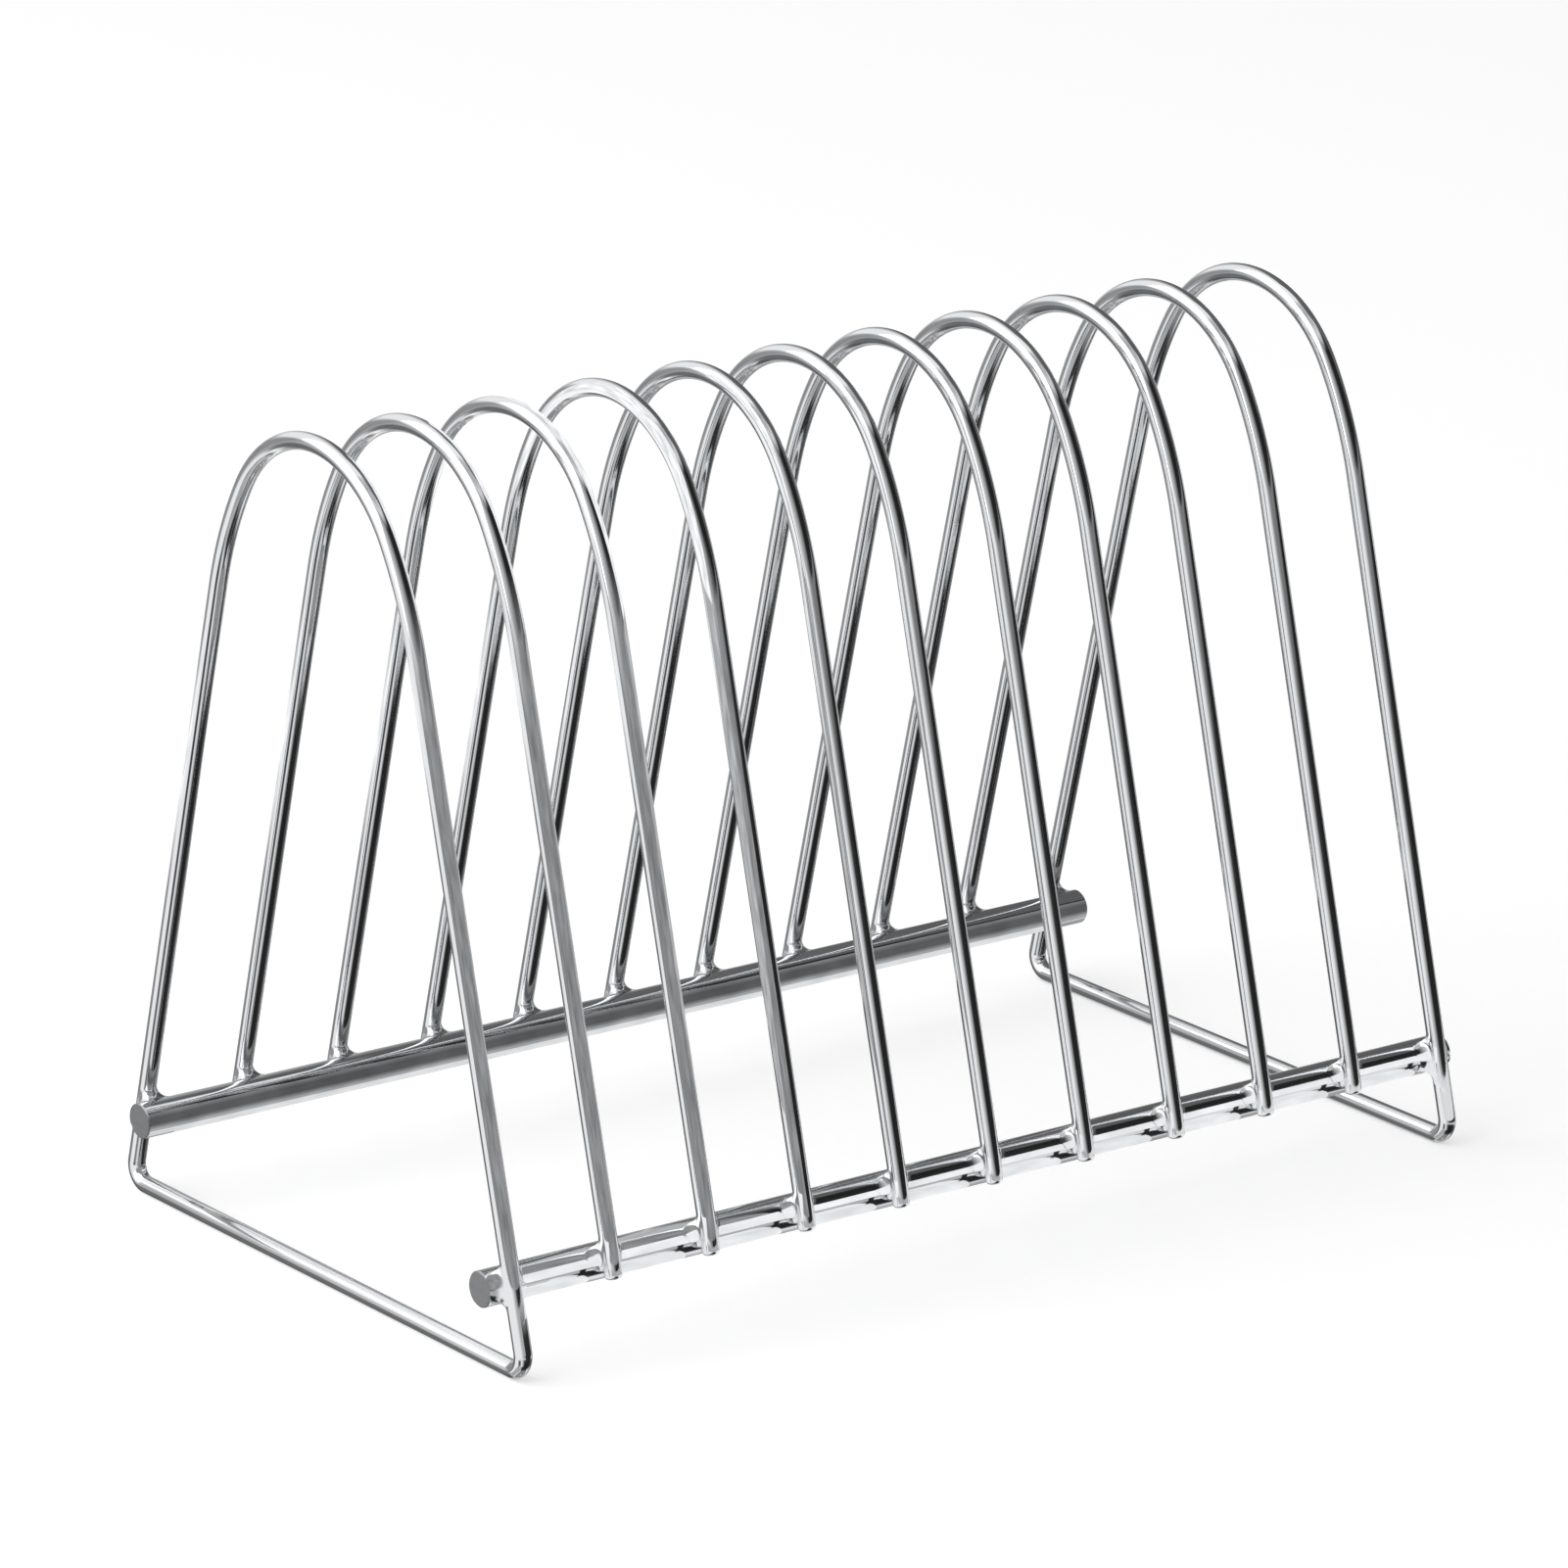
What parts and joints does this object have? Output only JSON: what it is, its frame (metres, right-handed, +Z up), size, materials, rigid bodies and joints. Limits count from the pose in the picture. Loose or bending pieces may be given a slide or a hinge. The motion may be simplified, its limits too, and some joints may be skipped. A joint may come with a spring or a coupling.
{
  "type": "record storage stand",
  "caption": "Chromed wire table stand: a row of inverted U arches welded astride long rails, closed end frames as feet, slots that hold discs or plates on edge.",
  "frame": {"origin": "on the table under the middle of the stand, halfway between the end frames and halfway between the rails", "axes": "+X along the rails from the near end frame to the far one, +Y across the slots from the front rail to the rear one, +Z up"},
  "size_m": [0.1972, 0.1148, 0.1416],
  "materials": {
    "chrome_wire": "bright mirror chrome plate on drawn wire",
    "chrome_rail": "bright mirror chrome plate on round rod, with flat sawn ends"
  },
  "bodies": {
    "root": {"front_rail": "chrome_rail", "rear_rail": "chrome_rail", "near_end_frame": "chrome_wire", "far_end_frame": "chrome_wire", "divider_1": "chrome_wire", "divider_2": "chrome_wire", "divider_3": "chrome_wire", "divider_4": "chrome_wire", "divider_5": "chrome_wire", "divider_6": "chrome_wire", "divider_7": "chrome_wire", "divider_8": "chrome_wire", "divider_9": "chrome_wire"}
  },
  "joints": []
}
